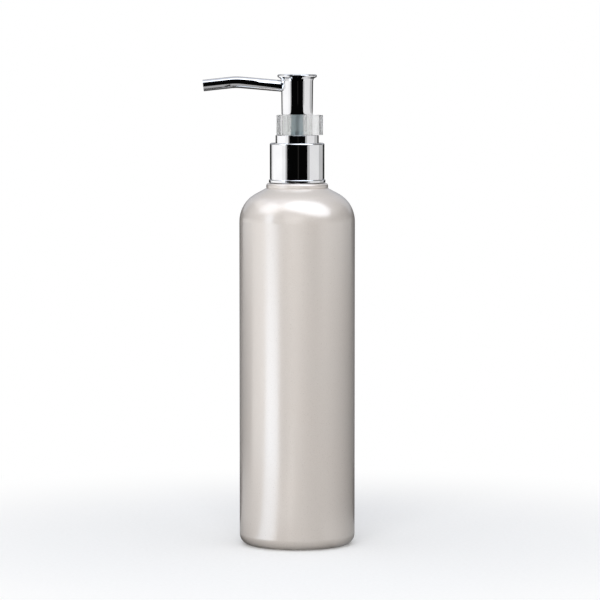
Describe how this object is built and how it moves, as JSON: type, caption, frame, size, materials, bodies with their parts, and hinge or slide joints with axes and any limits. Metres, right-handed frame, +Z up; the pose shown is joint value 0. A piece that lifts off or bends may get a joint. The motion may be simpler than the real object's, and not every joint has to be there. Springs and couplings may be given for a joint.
{
  "type": "lotion pump bottle",
  "caption": "Round pearl-silver bottle with a chrome screw collar, a spring-loaded press pump, a bent metal spout and a clear lock clip.",
  "frame": {"origin": "on the bottle's axis, in the plane of the ring that it stands on", "axes": "+Z up along the bottle's axis; the spout points along -X at rest; the lock clip opens along -Y and its pull tab points along +Y"},
  "size_m": [0.0783, 0.0594, 0.2426],
  "materials": {
    "pearl_bottle": "pearl silver coating, satin gloss",
    "chrome_metal": "bright mirror chrome",
    "clear_plastic": "clear glossy polypropylene",
    "natural_plastic": "natural translucent polypropylene",
    "white_plastic": "white satin polypropylene",
    "tube_plastic": "milky translucent polyethylene",
    "soft_seal": "soft foamed polyethylene sealing liner",
    "spring_steel": "drawn and polished stainless steel"
  },
  "bodies": {
    "bottle": {"bottle": "pearl_bottle"},
    "seal": {"neck_gasket": "soft_seal"},
    "pump": {"pump_housing": "natural_plastic", "chaplet": "natural_plastic", "dip_tube": "tube_plastic", "ball_retainer": "natural_plastic", "return_spring": "spring_steel"},
    "closure": {"closure_cap": "white_plastic", "collar_shell": "chrome_metal", "guide_ring": "chrome_metal"},
    "plunger": {"stem": "natural_plastic", "stem_plug": "white_plastic"},
    "piston": {"piston": "white_plastic"},
    "head": {"actuator_core": "natural_plastic", "actuator_sleeve": "chrome_metal", "actuator_cap": "chrome_metal", "spout_tube": "chrome_metal", "spout_liner": "tube_plastic"},
    "inlet_valve": {"inlet_ball": "spring_steel"},
    "clip": {"lock_clip": "clear_plastic"}
  },
  "joints": [
    {"name": "pump_lift_out", "type": "slide", "parent": "bottle", "child": "seal", "axis": [0, 0, 1], "range_m": [0, 0.205]},
    {"name": "thread_lift", "type": "slide", "parent": "seal", "child": "pump", "axis": [0, 0, 1], "range_m": [0, 0.00477]},
    {"name": "collar_turn", "type": "hinge", "parent": "pump", "child": "closure", "pos_m": [0, 0, 0.196], "axis": [0, 0, 1], "range_deg": [0, 540]},
    {"name": "press", "type": "slide", "parent": "pump", "child": "plunger", "axis": [0, 0, -1], "range_m": [0, 0.0101], "stiffness_N_per_m": 630, "springref_m": -0.008, "deforming": ["return_spring"]},
    {"name": "head_swivel", "type": "hinge", "parent": "plunger", "child": "head", "pos_m": [0, 0, 0.22], "axis": [0, 0, 1], "continuous": true},
    {"name": "piston_slip", "type": "slide", "parent": "plunger", "child": "piston", "axis": [0, 0, 1], "range_m": [0, 0.0012]},
    {"name": "ball_lift", "type": "slide", "parent": "pump", "child": "inlet_valve", "axis": [0, 0, 1], "range_m": [0, 0.0015]},
    {"name": "clip_pull", "type": "slide", "parent": "closure", "child": "clip", "axis": [0, 1, 0], "range_m": [0, 0.03]}
  ],
  "couplings": [
    {"joint": "thread_lift", "follows": "collar_turn", "m_per_rad": 0.00050532}
  ]
}
